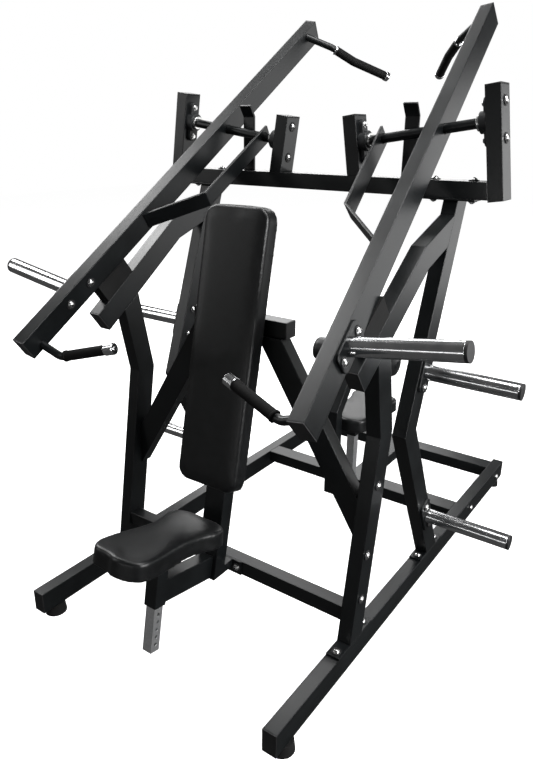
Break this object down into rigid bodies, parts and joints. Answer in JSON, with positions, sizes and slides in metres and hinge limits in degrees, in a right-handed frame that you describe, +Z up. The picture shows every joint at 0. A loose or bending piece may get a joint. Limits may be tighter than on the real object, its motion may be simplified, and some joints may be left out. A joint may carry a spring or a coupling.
{
  "type": "two-station press and pulldown machine",
  "caption": "Plate-loaded gym machine with independent levers: a chest press with a leaning backrest at the front and a pulldown seat with a thigh roller at the rear.",
  "frame": {"origin": "on the floor, at the middle of the machine's footprint", "axes": "+X to the side, -Y towards the press station at the front, +Y towards the pulldown station at the rear, +Z up"},
  "size_m": [1.5974, 1.9806, 1.9812],
  "materials": {
    "vinyl": "satin",
    "bolt_steel": "polished",
    "chrome": "polished",
    "shaft_steel": "satin",
    "bearing_housing": "satin",
    "rubber": "matte",
    "grip_rubber": "matte",
    "black_plastic": "satin",
    "plywood": "painted black",
    "frame_paint": "satin powder coat"
  },
  "bodies": {
    "frame": {"back_braces": "frame_paint", "back_crossbar": "frame_paint", "back_post": "frame_paint", "backrest_board": "plywood", "backrest_pad": "vinyl", "base_crossbeams": "frame_paint", "catch_bars": "frame_paint", "end_caps": "black_plastic", "flange_plates": "frame_paint", "frame_bolts": "bolt_steel", "front_crossbeam": "frame_paint", "front_seat_bracket": "frame_paint", "front_upright_left": "frame_paint", "front_upright_right": "frame_paint", "inner_posts": "frame_paint", "outer_posts": "frame_paint", "pivot_bearings": "bearing_housing", "rail_left": "frame_paint", "rail_right": "frame_paint", "rear_seat_bracket": "frame_paint", "rear_upright_left": "frame_paint", "rear_upright_right": "frame_paint", "rubber_feet": "rubber", "stop_arm_left": "frame_paint", "stop_arm_right": "frame_paint", "stop_bumpers": "rubber", "storage_horns": "chrome", "thigh_pad_stand": "frame_paint", "thigh_pads": "vinyl", "top_crossbeam": "frame_paint"},
    "left_lever": {"horn_plate_left": "frame_paint", "lever_bolts_left": "bolt_steel", "lever_brace_left": "frame_paint", "lever_caps_left": "black_plastic", "lever_left": "frame_paint", "pivot_shaft_left": "shaft_steel", "press_grip_left": "grip_rubber", "press_handle_left": "frame_paint", "pull_grip_left": "grip_rubber", "pull_handle_left": "frame_paint", "weight_horn_left": "chrome"},
    "right_lever": {"horn_plate_right": "frame_paint", "lever_bolts_right": "bolt_steel", "lever_brace_right": "frame_paint", "lever_caps_right": "black_plastic", "lever_right": "frame_paint", "pivot_shaft_right": "shaft_steel", "press_grip_right": "grip_rubber", "press_handle_right": "frame_paint", "pull_grip_right": "grip_rubber", "pull_handle_right": "frame_paint", "weight_horn_right": "chrome"},
    "front_seat": {"front_seat_carrier": "frame_paint", "front_seat_pad": "vinyl", "front_seat_post": "chrome"},
    "rear_seat": {"rear_seat_carrier": "frame_paint", "rear_seat_pad": "vinyl", "rear_seat_post": "chrome"},
    "front_pull_pin": {"front_pull_pin": "black_plastic"},
    "rear_pull_pin": {"rear_pull_pin": "black_plastic"}
  },
  "joints": [
    {"name": "left_lever_swing", "type": "hinge", "parent": "frame", "child": "left_lever", "pos_m": [-0.407, 0.0285, 1.581], "axis": [-0.989, 0, 0.1478], "range_deg": [0, 40]},
    {"name": "right_lever_swing", "type": "hinge", "parent": "frame", "child": "right_lever", "pos_m": [0.407, 0.0285, 1.581], "axis": [-0.989, 0, -0.1478], "range_deg": [0, 40]},
    {"name": "front_seat_height", "type": "slide", "parent": "frame", "child": "front_seat", "axis": [0, 0.1908, 0.9816], "range_m": [0, 0.075]},
    {"name": "rear_seat_height", "type": "slide", "parent": "frame", "child": "rear_seat", "axis": [0, 0, 1], "range_m": [0, 0.05]},
    {"name": "front_pin_pull", "type": "slide", "parent": "frame", "child": "front_pull_pin", "axis": [-1, 0, 0], "range_m": [0, 0.012], "stiffness_N_per_m": 800},
    {"name": "rear_pin_pull", "type": "slide", "parent": "frame", "child": "rear_pull_pin", "axis": [1, 0, 0], "range_m": [0, 0.012], "stiffness_N_per_m": 800}
  ]
}
